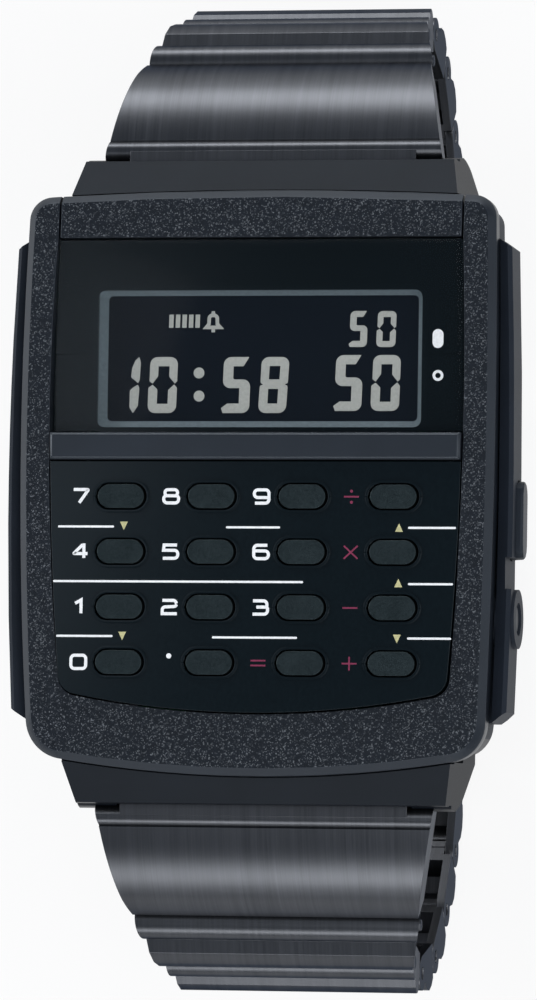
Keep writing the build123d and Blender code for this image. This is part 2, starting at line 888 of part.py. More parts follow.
def bracelet(headings, side, last):
    """Links of one half in order; the last one is made by its own function."""
    pins = chain(headings, side)
    halves = [first_half, second_half, third_half] + [band_half] * len(headings)
    links = []
    for number, heading in enumerate(headings):
        if number == 0:
            solids = first_link(heading)
        elif number == len(headings) - 1:
            solids = last()
        elif last is strap_link and number == len(headings) - 2:
            solids = eared_link()
        else:
            solids = plain_link(halves[number], halves[number + 1])
        place = link_frame(pins[number], heading, side).location
        pieces = solids if isinstance(solids, list) else [solids]
        links.append([place * piece for piece in pieces])
    return links


def clasp_centre():
    """Height of the line that the clasp is bent round."""
    y, z = chain(upper_headings, 1)[-1]
    return z + sqrt(eye_ring() ** 2 - y ** 2)


def face_height():
    """Height of the face over the flat of the clasp, which the case's face is drawn from."""
    return clasp_radius - clasp_flat - clasp_centre()


def on_ring(y, radius):
    """Height of the point of the clasp's lower ring at a given y."""
    return clasp_centre() - sqrt(radius ** 2 - y ** 2)


def ring_strip(outer, inner, y0, y1):
    """Side view of a bent strip between two radii and two ends."""
    middle = (y0 + y1) / 2
    return closed(
        ThreePointArc((y0, on_ring(y0, outer)), (middle, on_ring(middle, outer)),
                      (y1, on_ring(y1, outer))),
        Line((y1, on_ring(y1, outer)), (y1, on_ring(y1, inner))),
        ThreePointArc((y1, on_ring(y1, inner)), (middle, on_ring(middle, inner)),
                      (y0, on_ring(y0, inner))),
        Line((y0, on_ring(y0, inner)), (y0, on_ring(y0, outer))))


def outer_blade_radius():
    return clasp_radius - clasp_sheet - blade_gap


def inner_blade_radius():
    return outer_blade_radius() - clasp_sheet - blade_gap


def eye_ring():
    """Radius that all the clasp's hinge pins lie on."""
    return outer_blade_radius() - eye_radius


def clasp_cover(strap_pin):
    """Bent channel with a flat under the case, pin holes and a slot at its inner hinge."""
    low, high = -cover_lower_end, cover_upper_end
    floor = across(ring_strip(clasp_radius, clasp_radius - clasp_sheet, low, strap_pin[0]),
                   cover_half)
    walls = across(ring_strip(clasp_radius, clasp_radius - cover_wall_height, low, high),
                   cover_half)
    inner = cover_half - clasp_sheet
    walls -= box_between(-inner, inner, low - overrun, high + overrun, -face_height() - overrun,
                         overrun)
    cover = floor + walls
    cover -= box_between(-cover_half - overrun, cover_half + overrun, low, high,
                         -face_height() - overrun, -face_height())
    cover -= box_between(-fork_inner, fork_inner, low - overrun, hinge_slot_y,
                         -face_height() - overrun, overrun)
    cover -= hidden_rod(eye_pin, -cover_half - overrun, cover_half + overrun, *strap_pin)
    cover -= hidden_rod(eye_pin, -cover_half - overrun, cover_half + overrun, clasp_hinge_y,
                 on_ring(clasp_hinge_y, eye_ring()))
    for number in range(1, adjust_holes):
        y = strap_pin[0] - adjust_hole_pitch * number
        height = on_ring(y, eye_ring())
        cover -= hidden_rod(adjust_hole, -cover_half - overrun, cover_half + overrun, y, height)
    return cover


def clasp_pins(strap_pin):
    """Spring bar of the strap link, and the two stub pins of the outer blade."""
    hinge_z = on_ring(clasp_hinge_y, eye_ring())
    reach = cover_half - pin_inset
    pins = [hidden_rod(eye_pin, -reach, reach, *strap_pin)]
    pins.append(hidden_rod(eye_pin, fork_inner, reach, clasp_hinge_y, hinge_z))
    pins.append(hidden_rod(eye_pin, -reach, -fork_inner, clasp_hinge_y, hinge_z))
    return pins


def outer_blade():
    """Wide blade: two eyes on the cover's stub pins and two on the inner blade's pin."""
    outer = outer_blade_radius()
    side = ring_strip(outer, outer - clasp_sheet, clasp_hinge_y, blade_hinge_y)
    near = (clasp_hinge_y, on_ring(clasp_hinge_y, eye_ring()))
    far = (blade_hinge_y, on_ring(blade_hinge_y, eye_ring()))
    for place in (near, far):
        side += Pos(*place) * Circle(eye_radius)
    blade = across(side, blade_half)
    slot = clasp_hinge_y + fork_slot
    deep = -face_height() - overrun
    blade -= box_between(-fork_inner, fork_inner, clasp_hinge_y - overrun, slot, deep, 0)
    blade -= box_between(-middle_eye_wall, middle_eye_wall, blade_hinge_y - fork_slot,
                         blade_hinge_y + overrun, deep, 0)
    blade -= hidden_rod(turning(eye_pin), -cover_half, cover_half, *near)
    blade -= hidden_rod(eye_pin, -cover_half, cover_half, *far)
    pin = hidden_rod(eye_pin, -blade_half, blade_half, *far)
    return [blade, pin]


def inner_blade(fork_pin):
    """Narrow blade from the outer blade's pin to the fork of the last link."""
    outer = inner_blade_radius()
    far = (blade_hinge_y, on_ring(blade_hinge_y, eye_ring()))
    side = ring_strip(outer, outer - clasp_sheet, fork_pin[0], blade_hinge_y)
    side += Pos(*far) * Circle(eye_radius) + Pos(*fork_pin) * Circle(eye_radius)
    blade = across(side, inner_blade_half)
    near_hinge = blade_hinge_y - fork_slot
    for sign in (-1, 1):
        blade -= box_between(sign * middle_eye_half, sign * cover_half, near_hinge,
                             blade_hinge_y + overrun, -face_height(), 0)
    blade -= hidden_rod(turning(eye_pin), -cover_half, cover_half, *far)
    blade -= hidden_rod(eye_pin, -cover_half, cover_half, *fork_pin)
    pin = hidden_rod(eye_pin, -inner_blade_half, inner_blade_half, *fork_pin)
    return [blade, pin]


def save(name, shape):
    """Writes one node, lifted so that the clasp rests on Z = 0."""
    pieces = shape if isinstance(shape, list) else [shape]
    solids = [solid for piece in pieces for solid in piece.solids()]
    lifted = [Pos(0, 0, face_height()) * solid for solid in solids]
    node = lifted[0] if len(lifted) == 1 else Compound(children=lifted)
    export_step(node, "parts/" + name + ".step")


def main():
    save("case_body", case_body())
    save("bezel", bezel())
    save("top_plate", top_plate())
    save("centre_bar", centre_bar())
    save("crystal", crystal())
    save("dial_mask", dial_mask())
    save("display_frame", display_frame())
    save("lcd_panel", lcd_panel())
    save("keypad_panel", keypad_panel())
    save("key_mat", key_mat())
    save("module_frame", module_frame())
    save("circuit_board", circuit_board())
    save("contact_strips", contact_strips())
    save("battery", battery())
    save("battery_clip", battery_clip())
    save("sounder_disc", sounder_disc())
    save("back_gasket", back_gasket())
    save("back_cover", back_cover())
    save("back_screws", back_screws())
    save("mode_button", mode_button())
    save("adjust_button", adjust_button())
    save("button_seals", button_seals())
    save("spring_bars", spring_bars())

    names = ("7", "8", "9", "divide", "4", "5", "6", "times",
             "1", "2", "3", "minus", "0", "point", "equals", "plus")
    for name, (x, y) in zip(names, key_places()):
        save("key_" + name, key(x, y))

    for number, pieces in enumerate(bracelet(upper_headings, 1, strap_link)):
        save("upper_link_%d" % (number + 1), pieces)
    for number, pieces in enumerate(bracelet(lower_headings, -1, fork_link)):
        save("lower_link_%d" % (number + 1), pieces)

    strap_pin = chain(upper_headings, 1)[-1]
    fork_pin = chain(lower_headings, -1)[-1]
    save("clasp_cover", clasp_cover(strap_pin))
    save("clasp_pins", clasp_pins(strap_pin))
    save("clasp_outer_blade", outer_blade())
    save("clasp_inner_blade", inner_blade(fork_pin))


main()
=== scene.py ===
# %% [markdown]
# A calculator watch on a black steel bracelet. The bodies, hinges and sizes come from the
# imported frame. This notebook dresses them: every visible part gets softened edges, a surface
# finish made of nodes, and the printed and displayed marks that a bare body lacks.

# %% Load the frame
import json
import math

import bmesh
import bpy
from mathutils import Matrix, Vector


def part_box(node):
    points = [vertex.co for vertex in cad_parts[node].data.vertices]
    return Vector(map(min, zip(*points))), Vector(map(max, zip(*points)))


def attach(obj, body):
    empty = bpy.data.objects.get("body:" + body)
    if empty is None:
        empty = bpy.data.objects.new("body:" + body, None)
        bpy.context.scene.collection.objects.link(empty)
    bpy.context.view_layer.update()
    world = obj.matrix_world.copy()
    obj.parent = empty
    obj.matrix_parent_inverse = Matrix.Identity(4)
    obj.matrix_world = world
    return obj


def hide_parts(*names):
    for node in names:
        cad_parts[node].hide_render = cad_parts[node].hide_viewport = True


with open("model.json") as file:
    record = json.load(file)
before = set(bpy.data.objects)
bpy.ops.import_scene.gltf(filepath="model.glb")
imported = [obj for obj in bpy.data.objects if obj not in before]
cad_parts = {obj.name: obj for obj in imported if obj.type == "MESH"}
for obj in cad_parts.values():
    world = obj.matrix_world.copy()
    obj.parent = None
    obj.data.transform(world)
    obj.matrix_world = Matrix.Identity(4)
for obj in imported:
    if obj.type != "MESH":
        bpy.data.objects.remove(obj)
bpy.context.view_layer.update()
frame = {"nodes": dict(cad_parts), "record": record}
scene = bpy.context.scene
MM = 0.001

# %% [markdown]
# Heights are read off the frame. The top of the crystal is level with the face of the
# watch, so it is the plane that the heights of the marks are counted from. The places of the
# marks across the face were measured from the photograph, in millimetres from the middle.

# %% Reference planes
low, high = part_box("crystal")
FACE_Z = high[2]
low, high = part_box("lcd_panel")
LCD_Z = high[2]
low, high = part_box("dial_mask")
MASK_Z = high[2]
print("face plane", round(FACE_Z / MM, 2), "display", round((LCD_Z - FACE_Z) / MM, 2))

# %% [markdown]
# The photograph is taken from almost straight above, a little to the right and below, with a
# long lens. A camera matrix is built from that direction, with a small roll, so the frame of
# the picture matches.

# %% Camera
AZIMUTH = math.radians(11.345)
ELEVATION = math.radians(3.662)
ROLL = math.radians(0.865)
DISTANCE = 0.53242
AIM = Vector((1.077 * MM, -1.613 * MM, FACE_Z))
SENSOR = 24.0
FOCAL_SHARE = 7.3615

away = Vector((math.sin(AZIMUTH) * math.cos(ELEVATION), -math.sin(ELEVATION),
               math.cos(AZIMUTH) * math.cos(ELEVATION)))
across = Vector((0, 1, 0)).cross(away).normalized()
upward = away.cross(across)
right = across * math.cos(ROLL) + upward * math.sin(ROLL)
up = upward * math.cos(ROLL) - across * math.sin(ROLL)
camera_data = bpy.data.cameras.new("camera")
camera_data.sensor_fit = "VERTICAL"
camera_data.sensor_height = SENSOR
camera_data.lens = FOCAL_SHARE * SENSOR
camera_data.clip_end = 20
camera = bpy.data.objects.new("camera", camera_data)
scene.collection.objects.link(camera)
turn = Matrix((right, up, away)).transposed().to_4x4()
camera.matrix_world = Matrix.Translation(AIM + away * DISTANCE) @ turn
scene.camera = camera
scene.view_settings.view_transform = "Standard"
print("camera at", [round(v, 3) for v in camera.matrix_world.translation])

# %% [markdown]
# Shader maths is easier to read as plain expressions. Maths on a wrapped socket adds a Math
# node, so 1 - mask or noise * 0.2 builds the nodes it needs. Every other node comes from the
# one method add, which takes a node's type, its settings and what goes into its sockets.

# %% Node helpers
class Wire:
    """A socket that can stand in a sum."""

    def __init__(self, paint, socket):
        self.paint = paint
        self.socket = socket

    def maths(self, operation, *values):
        node = self.paint.add("ShaderNodeMath", {"operation": operation}, dict(enumerate(values)))
        return node.out("Value")

    def __add__(self, other):
        return self.maths("ADD", self, other)

    def __radd__(self, other):
        return self.maths("ADD", other, self)

    def __rsub__(self, other):
        return self.maths("SUBTRACT", other, self)

    def __mul__(self, other):
        return self.maths("MULTIPLY", self, other)

    def __gt__(self, other):
        return self.maths("GREATER_THAN", self, other)

    def power(self, other):
        return self.maths("POWER", self, other)

    def between(self, start, end):
        """Ramps from 0 at start to 1 at end, held at both."""
        node = self.paint.add("ShaderNodeMapRange", {"clamp": True},
                              {"Value": self, "From Min": start, "From Max": end})
        return node.out("Result")


class Step:
    """A node whose outputs come back wrapped."""

    def __init__(self, paint, node):
        self.paint = paint
        self.node = node

    def out(self, name):
        return Wire(self.paint, self.node.outputs[name])


class Paint:
    """One material and its nodes."""

    def __init__(self, name):
        self.material = bpy.data.materials.new(name)
        self.material.use_nodes = True
        self.tree = self.material.node_tree
        self.tree.nodes.clear()
        self.shader = self.tree.nodes.new("ShaderNodeBsdfPrincipled")
        end = self.tree.nodes.new("ShaderNodeOutputMaterial")
        self.tree.links.new(self.shader.outputs["BSDF"], end.inputs["Surface"])

    def feed(self, socket, value):
        if isinstance(value, Wire):
            self.tree.links.new(value.socket, socket)
        else:
            socket.default_value = value

    def add(self, kind, settings=None, sockets=None):
        node = self.tree.nodes.new(kind)
        for name, value in (settings or {}).items():
            setattr(node, name, value)
        for name, value in (sockets or {}).items():
            self.feed(node.inputs[name], value)
        return Step(self, node)

    def put(self, **values):
        """Sets the shader's own sockets: Base_Color=..., Roughness=..."""
        for name, value in values.items():
            self.feed(self.shader.inputs[name.replace("_", " ")], value)
        return self.material

    def place(self):
        """Object coordinates in metres."""
        return self.add("ShaderNodeTexCoord").out("Object")

    def stretched(self, x, y, z):
        """Object coordinates with each axis scaled, so that a pattern is drawn out."""
        node = self.add("ShaderNodeMapping", {"vector_type": "POINT"},
                        {"Vector": self.place(), "Scale": (x, y, z)})
        return node.out("Vector")

    def noise(self, scale, detail=4.0, rough=0.5, where=None):
        node = self.add("ShaderNodeTexNoise", {}, {
            "Vector": where or self.place(), "Scale": scale, "Detail": detail,
            "Roughness": rough})
        return node.out("Fac")

    def cells(self, scale):
        """Colour that is even within a cell and random between cells."""
        node = self.add("ShaderNodeTexVoronoi", {"feature": "F1"},
                        {"Vector": self.place(), "Scale": scale})
        return node.out("Color")

    def part(self, colour, name):
        """One channel of a colour."""
        return self.add("ShaderNodeSeparateColor", {}, {"Color": colour}).out(name)

    def blend(self, factor, first, second):
        """Colour that goes from first to second with a factor."""
        node = self.add("ShaderNodeMix", {"data_type": "RGBA"},
                        {"Factor": factor, 6: first, 7: second})
        return Wire(self, node.node.outputs[2])

    def bump(self, height, strength, distance):
        node = self.add("ShaderNodeBump", {}, {"Height": height, "Strength": strength,
                                               "Distance": distance})
        return node.out("Normal")


def grey(value, tint=(1.0, 1.0, 1.0)):
    return (value * tint[0], value * tint[1], value * tint[2], 1.0)


print("node helpers ready")

# %% [markdown]
# The bezel and the plate above the display are moulded with metal flake under a satin skin.
# Small Voronoi cells stand for the flakes: most stay dark, a few are bright, and the same
# cells tilt the surface a little, so they catch the light one by one.

# %% Flake finish
DEEP_BLUE = (0.78, 1.0, 1.42)
COOL_SHEEN = (0.80, 0.90, 1.0, 1.0)
FLAKES_PER_METRE = 12500
DULL_SHARE = 0.70
FLAKE_COLOUR = grey(0.15, (0.92, 1.0, 1.10))


def flake_finish():
    paint = Paint("flake_resin_finish")
    colours = paint.cells(FLAKES_PER_METRE)
    chance = paint.part(colours, "Red")
    lift = paint.part(colours, "Green")
    bright = (chance > DULL_SHARE) * lift.power(2.0)
    soft = paint.noise(2400, 4)
    base = paint.blend(soft, grey(0.004, DEEP_BLUE), grey(0.016, DEEP_BLUE))
    paint.put(Base_Color=paint.blend(bright, base, FLAKE_COLOUR),
              Roughness=0.46 - bright * 0.12, Specular_IOR_Level=0.22,
              Specular_Tint=COOL_SHEEN, Normal=paint.bump(lift, 0.30, 0.03 * MM))
    return paint.material


FLAKE = flake_finish()

# %% [markdown]
# The hoods, the side bars and the buttons are the same resin without the coarse flake: a
# satin skin with a very fine grain.

# %% Satin finish
FINE_GRAIN, BROAD_GRAIN = 9000, 220


def satin_finish(name, level, rough, shine=0.4):
    paint = Paint(name)
    grain = paint.noise(FINE_GRAIN, 2)
    broad = paint.noise(BROAD_GRAIN, 4)
    tone = (grain * 0.35 + broad * 0.65).between(0.3, 0.7)
    dark, light = grey(level * 0.78, DEEP_BLUE), grey(level * 1.2, DEEP_BLUE)
    paint.put(Base_Color=paint.blend(tone, dark, light),
              Roughness=rough + grain * 0.12, Specular_IOR_Level=shine, Specular_Tint=COOL_SHEEN,
              Normal=paint.bump(grain, 0.15, 0.012 * MM))
    return paint.material


CASE_SATIN = satin_finish("case_satin", 0.0085, 0.30, 0.09)
BEVEL_SATIN = satin_finish("bezel_side_satin", 0.016, 0.34)
BAR_SATIN = satin_finish("centre_bar_satin", 0.014, 0.30, 0.55)
# The side bars' satin is painted lighter than the case satin: painted light that lifts the
# bezel's shade on their slopes.
SIDE_BAR_PAINTED_LIGHT = satin_finish("side_bar_painted_light_satin", 0.020, 0.50, 0.13)
BUTTON_SATIN = satin_finish("button_satin", 0.018, 0.42, 0.30)

# %% [markdown]
# The bracelet is folded steel with a black coat over fine brushing that runs along the band.
# Lines along the band change only with X, so noise is stretched to be quick across X and
# very slow along the other two axes, which also follows the band round the loop.

# %% Brushed black steel
COOL_STEEL = (0.94, 0.98, 1.07)
DARK_EDGE = (0.30, 0.32, 0.36, 1)
FINE_LINES, WIDE_LINES = (9000, 110, 110), (2100, 60, 60)


def brushed_finish(name, level, rough, edge=(1, 1, 1, 1)):
    paint = Paint(name)
    lines = paint.noise(1.0, 3, 0.6, paint.stretched(*FINE_LINES))
    wide_lines = paint.noise(1.0, 2, 0.5, paint.stretched(*WIDE_LINES))
    broad = paint.noise(160, 3)
    tone = (lines * 0.45 + wide_lines * 0.35 + broad * 0.2).between(0.30, 0.70)
    dark, light = grey(level * 0.78, COOL_STEEL), grey(level * 1.22, COOL_STEEL)
    paint.put(Base_Color=paint.blend(tone, dark, light),
              Metallic=1.0, Roughness=rough + lines * 0.14, Specular_Tint=edge,
              Normal=paint.bump(lines, 0.14, 0.006 * MM))
    return paint.material


BAND = brushed_finish("band_black_steel", 0.092, 0.27, DARK_EDGE)
BACK_STEEL = brushed_finish("back_plain_steel", 0.46, 0.28)
SCREW_STEEL = brushed_finish("screw_plain_steel", 0.50, 0.30)

# %% [markdown]
# The display sits deep under a clear crystal. Clear glass is drawn as a thin see-through
# skin: mostly transparent, with the gloss of its top face left on. That keeps the marks
# under it lit.

# %% Glass and display finishes
CRYSTAL_ALPHA, CRYSTAL_IOR = 0.06, 1.49
SKIN_GRAIN = 5200


def crystal_finish():
    paint = Paint("crystal_clear")
    smear = paint.noise(60, 3)
    paint.put(Base_Color=(0.02, 0.03, 0.035, 1), Roughness=0.05 + smear * 0.01,
              Alpha=CRYSTAL_ALPHA + smear * 0.01, IOR=CRYSTAL_IOR)
    return paint.material


def print_finish(name, colour, rough, speck=0.06, shine=0.5):
    """Printed or moulded surface of one colour with a fine uneven skin."""
    paint = Paint(name)
    fine = paint.noise(SKIN_GRAIN, 3)
    darker = tuple(c * (1 - speck * 2) for c in colour[:3]) + (1,)
    lighter = tuple(min(c * (1 + speck * 2), 1.0) for c in colour[:3]) + (1,)
    paint.put(Base_Color=paint.blend(fine.between(0.35, 0.65), darker, lighter),
              Roughness=rough + fine * 0.06, Specular_IOR_Level=shine,
              Specular_Tint=COOL_SHEEN, Normal=paint.bump(fine, 0.06, 0.01 * MM))
    return paint.material


CRYSTAL = crystal_finish()
MASK_BLACK = print_finish("mask_black", (0.0020, 0.0040, 0.0050, 1), 0.14, shine=0.26)
FRAME_GREY = print_finish("frame_blue_grey", (0.14, 0.18, 0.20, 1), 0.45, shine=0.3)
LCD_DARK = print_finish("display_dark", (0.0025, 0.0045, 0.0095, 1), 0.30, shine=0.12)
SEGMENT = print_finish("segment_pale", (0.52, 0.53, 0.49, 1), 0.5, 0.03, 0.2)
WHITE_INK = print_finish("white_ink", (0.92, 0.93, 0.94, 1), 0.45, 0.03)
PANEL_GLOSS = print_finish("keypad_dark_gloss", (0.0022, 0.0052, 0.0068, 1), 0.16, shine=0.30)
YELLOW_INK = print_finish("pale_yellow_ink", (0.56, 0.53, 0.27, 1), 0.45)
CRIMSON_INK = print_finish("crimson_ink", (0.21, 0.018, 0.06, 1), 0.45)

# %% [markdown]
# The keys are dark rubber. Their tops are slightly speckled and matt, so the noise goes into
# colour, roughness and a small bump together.

# %% Rubber finishes
RUBBER_TINT = (0.76, 1.0, 1.08)
KEY_SHEEN = (0.62, 0.90, 1.0, 1.0)


def rubber_finish(name, level):
    paint = Paint(name)
    specks = paint.noise(SKIN_GRAIN, 5, 0.75)
    broad = paint.noise(700, 2)
    tone = (specks * 0.7 + broad * 0.3).between(0.38, 0.66)
    dark, light = grey(level * 0.35, RUBBER_TINT), grey(level * 2.1, RUBBER_TINT)
    paint.put(Base_Color=paint.blend(tone, dark, light), Roughness=0.28 + specks * 0.16,
              Specular_IOR_Level=0.36, Specular_Tint=KEY_SHEEN,
              Normal=paint.bump(specks, 0.7, 0.04 * MM))
    return paint.material


KEY_RUBBER = rubber_finish("key_rubber_dark", 0.0085)
SEAL_RUBBER = rubber_finish("seal_rubber", 0.03)
MAT_RUBBER = rubber_finish("mat_rubber_grey", 0.03)
print("finishes so far", len(bpy.data.materials))

# %% [markdown]
# Inside pieces show only when the case is opened or cut, but they still get their own
# finish: green board, black tray, plated cell, brass sounder.

# %% Inner finishes
BOARD = print_finish("board_green", (0.02, 0.13, 0.05, 1), 0.32, 0.12)
TRAY = print_finish("tray_black", (0.03, 0.03, 0.032, 1), 0.5)
CELL = brushed_finish("cell_plated", 0.55, 0.22)
BRASS = brushed_finish("sounder_brass", 0.5, 0.3)
print("finishes", len(bpy.data.materials))

# %% [markdown]
# A real edge is never perfectly sharp: moulded and folded edges have a small radius that
# catches a thin line of light. The bodies come as loose triangles, so a copy is merged, its
# flat faces joined, and every sharp edge bevelled by a few hundredths of a millimetre. The
# copy then stands for the body. Weighted normals keep the wide flat faces looking flat.

# %% Pieces and softened copies
NODE_BODY = {}
for body_name, names in frame["record"]["behaviour"]["bodies"].items():
    for node_name in names:
        NODE_BODY[node_name] = body_name
FLAT_JOIN = math.radians(1.0)
MERGE_GAP = 0.0005
SHARP = math.radians(28)
CREASE = math.radians(38)
ROUNDER = 0.26
FLAT_TOP = 0.94


def round_off(shape, geom, width, segments, affect="EDGES"):
    """Bevels edges or corners by a width in millimetres."""
    bmesh.ops.bevel(shape, geom=geom, offset=width * MM, offset_type="OFFSET", affect=affect,
                    segments=segments, profile=0.5, material=-1, clamp_overlap=True)


def take_in(shape, part):
    """Adds a finished bmesh to another, and frees it."""
    mesh = bpy.data.meshes.new("part")
    part.to_mesh(mesh)
    part.free()
    shape.from_mesh(mesh)
    bpy.data.meshes.remove(mesh)


def raised(made):
    """The points among what an extrusion made."""
    return [g for g in made if isinstance(g, bmesh.types.BMVert)]


def new_piece(name, shape, materials, body, replaced=()):
    """Makes a finished bmesh into a piece that rides on a body."""
    mesh = bpy.data.meshes.new(name)
    shape.to_mesh(mesh)
    shape.free()
    for material in materials:
        mesh.materials.append(material)
    piece = bpy.data.objects.new(name, mesh)
    scene.collection.objects.link(piece)
    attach(piece, body)
    if replaced:
        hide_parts(*replaced)
    return piece


def smooth_shading(piece):
    """Smooth faces with sharp creases, where wide faces lead."""
    for polygon in piece.data.polygons:
        polygon.use_smooth = True
    piece.data.set_sharp_from_angle(angle=CREASE)
    lead = piece.modifiers.new("wide_faces_lead", "WEIGHTED_NORMAL")
    lead.keep_sharp = True


def leans(face):
    """A face that isn't part of the flat top."""
    return face.normal.z < FLAT_TOP


def sharp_edges(shape):
    return [e for e in shape.edges if len(e.link_faces) == 2 and e.calc_face_angle(0) > SHARP]


def softened(node_name, materials, width, second=leans, rounder=None):
    """Copy of a body with softened edges, which stands for it. Where there are two
    materials, the faces that second picks get the other one."""
    shape = bmesh.new()
    shape.from_mesh(frame["nodes"][node_name].data)
    bmesh.ops.remove_doubles(shape, verts=shape.verts, dist=MERGE_GAP * MM)
    bmesh.ops.dissolve_limit(shape, angle_limit=FLAT_JOIN, verts=shape.verts, edges=shape.edges,
                             delimit=set())
    if rounder:
        wide = [e for e in sharp_edges(shape) if rounder(e)]
        round_off(shape, wide, ROUNDER, 3)
    round_off(shape, sharp_edges(shape), width, 2)
    for face in shape.faces:
        face.material_index = 1 if len(materials) > 1 and second(face) else 0
    piece = new_piece(node_name + "_skin", shape, materials, NODE_BODY[node_name],
                      (node_name,))
    smooth_shading(piece)
    return piece


def dress(node_name, material):
    """Leaves a body's mesh as it is and gives it its finish."""
    mesh = frame["nodes"][node_name].data
    mesh.materials.clear()
    mesh.materials.append(material)


# %% [markdown]
# The case, the bezel, the bars and the buttons get softened copies. The side bars are part of
# the case's moulding: their faces are told by how far out they lie, for a rougher finish that
# is also painted lighter than the case. This is painted light, which lifts the shade that the
# bezel casts on their inner slopes. Their long ridges get a rounder edge. The crystal, the
# mask, the display, the spring bars and the inner pieces keep their bodies and only get a finish.

# %% Case, bezel and bars
SIDE_BAR_X, RIDGE_X, RIDGE_LONG = 16.2, 17.6, 0.9


def on_side_bar(face):
    return abs(face.calc_center_median().x) > SIDE_BAR_X * MM


def bar_ridge(edge):
    middle = (edge.verts[0].co + edge.verts[1].co) / 2
    return abs(middle.x) > RIDGE_X * MM and edge.calc_length() > RIDGE_LONG * MM


# The side bar faces get the lighter satin, painted light over the shade that the bezel casts.
softened("case_body", [CASE_SATIN, SIDE_BAR_PAINTED_LIGHT], 0.06, on_side_bar, bar_ridge)
soft = {"bezel": ("flake_resin", [FLAKE, BEVEL_SATIN], 0.10),
        "top_plate": ("flake_resin", [FLAKE, BEVEL_SATIN], 0.06),
        "centre_bar": ("bar_resin", [BAR_SATIN], 0.07),
        "keypad_panel": ("keypad_gloss", [PANEL_GLOSS], 0.03),
        "mode_button": ("case_resin", [BUTTON_SATIN], 0.10),
        "adjust_button": ("case_resin", [BUTTON_SATIN], 0.10),
        "back_cover": ("back_steel", [BACK_STEEL], 0.04)}
for node_name, (slot, materials, width) in soft.items():
    softened(node_name, materials, width)
plain = {"crystal": CRYSTAL, "dial_mask": MASK_BLACK,
         "lcd_panel": LCD_DARK, "key_mat": MAT_RUBBER, "module_frame": TRAY,
         "circuit_board": BOARD, "contact_strips": MAT_RUBBER, "battery": CELL,
         "battery_clip": CELL, "sounder_disc": BRASS, "back_gasket": SEAL_RUBBER,
         "button_seals": SEAL_RUBBER, "spring_bars": SCREW_STEEL}
for node_name, material in plain.items():
    dress(node_name, material)
print("softened", len(soft) + 1, "dressed", len(plain))

# %% [markdown]
# A folded link is bent from sheet, so its crown is one smooth curve. The body's crown has a
# few flats: its edges are low angles, so smooth shading joins them, and only the sheet's cut
# edges are bevelled. On both first links the rolled bead lies a little nearer to the case in
# the photograph than in the body. The copy's points between the tongue and the crown move by
# that much, fading out at both ends.

# %% Links and clasp
BEAD_NEARER, TONGUE_HELD, CROWN_HELD, CROWN_FADE = 0.62, 23.0, 30.5, 4.5
band_nodes = sorted(name for name in frame["nodes"]
                    if "link" in name or name.startswith("clasp"))
for node_name in band_nodes:
    link = softened(node_name, [BAND], 0.08)
    if node_name in ("upper_link_1", "lower_link_1"):
        for vert in link.data.vertices:
            out = abs(vert.co.y) / MM
            inner = min(max(out - TONGUE_HELD, 0), 1)
            share = inner * min(max((CROWN_HELD - out) / CROWN_FADE, 0), 1)
            vert.co.y -= math.copysign(BEAD_NEARER * MM, vert.co.y) * share
print("band pieces", len(band_nodes))

# %% [markdown]
# A key is a rubber pill. It starts as a block, its four upright edges are bevelled by half
# its depth to make round ends, and then its top rim is bevelled again to a soft shoulder.

# %% Keys
KEY_LONG, KEY_DEEP = 3.42, 1.74
HOLE_LONG, HOLE_DEEP = 3.80, 1.98
SHOULDER = 0.46
HALF_ROUND = 0.499
SAME_HEIGHT = 0.001


def pill(shape, x, y, low, high, long, deep):
    """Upright block with round ends, between two heights in metres."""
    place = Matrix.Translation((x, y, (low + high) / 2))
    size = Matrix.Diagonal((long * MM, deep * MM, high - low, 1))
    made = bmesh.ops.create_cube(shape, size=1, matrix=place @ size)["verts"]
    upright = [e for e in shape.edges if e.verts[0] in made
               and abs(e.verts[0].co.z - e.verts[1].co.z) > (high - low) / 2]
    round_off(shape, upright, deep * HALF_ROUND, 12)


def rim_edges(shape, height):
    """Edges that lie at a height, in metres."""
    return [e for e in shape.edges
            if all(abs(v.co.z - height) < SAME_HEIGHT * MM for v in e.verts)]


key_nodes = sorted(name for name in frame["nodes"]
                   if name.startswith("key_") and name != "key_mat")
for node_name in key_nodes:
    low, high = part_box(node_name)
    shape = bmesh.new()
    pill(shape, (low[0] + high[0]) / 2, (low[1] + high[1]) / 2, low[2], high[2],
         KEY_LONG, KEY_DEEP)
    round_off(shape, rim_edges(shape, high[2]), SHOULDER, 5)
    bmesh.ops.recalc_face_normals(shape, faces=shape.faces[:])
    key = new_piece(node_name + "_cap", shape, [KEY_RUBBER], NODE_BODY[node_name],
                    (node_name,))
    smooth_shading(key)
print("keys", len(key_nodes))

# %% [markdown]
# Round each key hole the panel turns up into a thin lip. One lip is a pill cut hollow: its
# top and bottom faces are inset by the lip's width, the inner faces are taken away and the
# two inner loops are bridged. All sixteen lips are one piece, because they are one moulding.

